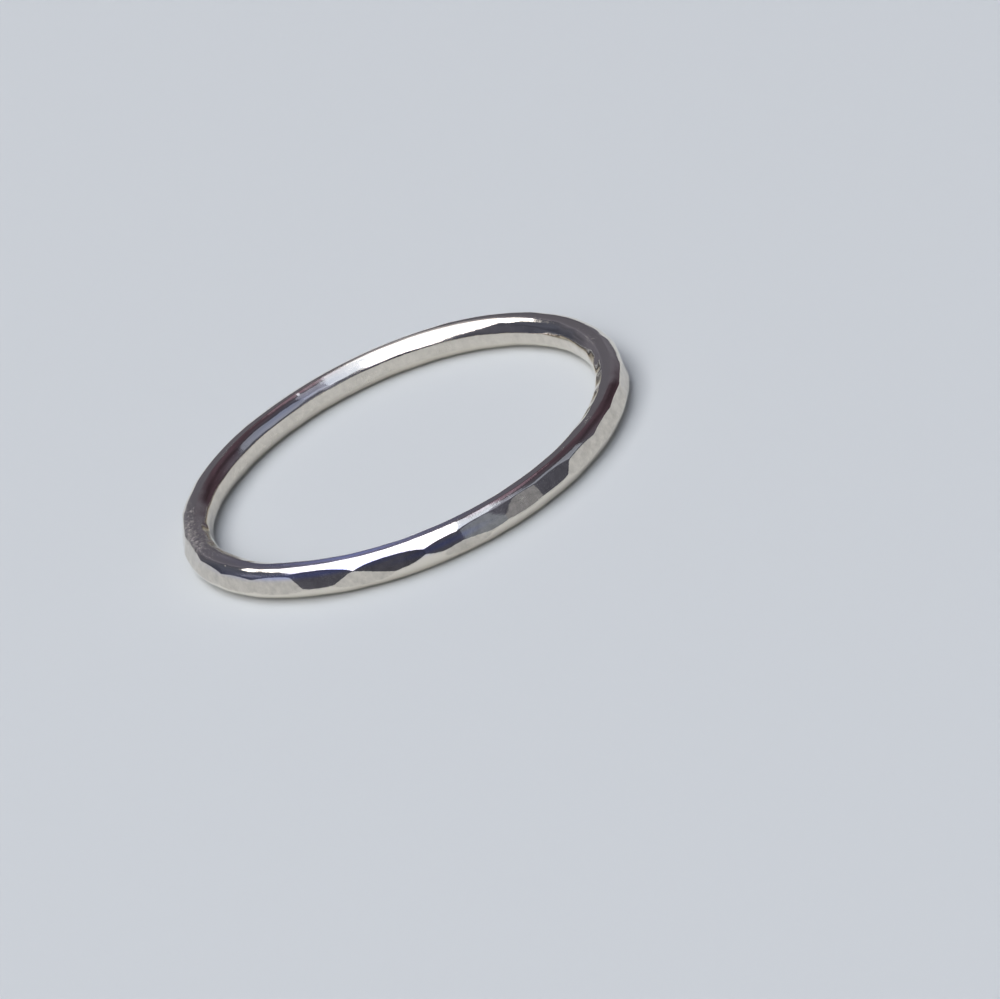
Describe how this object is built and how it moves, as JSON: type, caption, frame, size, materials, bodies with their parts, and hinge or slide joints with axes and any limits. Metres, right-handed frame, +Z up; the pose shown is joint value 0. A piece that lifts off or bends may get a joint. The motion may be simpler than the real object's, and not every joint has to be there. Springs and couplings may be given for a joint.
{
  "type": "finger ring",
  "caption": "Slim stacking ring of round silver wire, hammered flat in short facets round its outside.",
  "frame": {"origin": "centre of the box round the ring, at the floor it lies on", "axes": "+Z up along the ring's axis; +Y away from the side the picture shows nearest; +X to that side's right"},
  "size_m": [0.0172, 0.0172, 0.0012],
  "materials": {
    "polished_silver": null
  },
  "bodies": {
    "root": {"hammered_band": "polished_silver"}
  },
  "joints": []
}
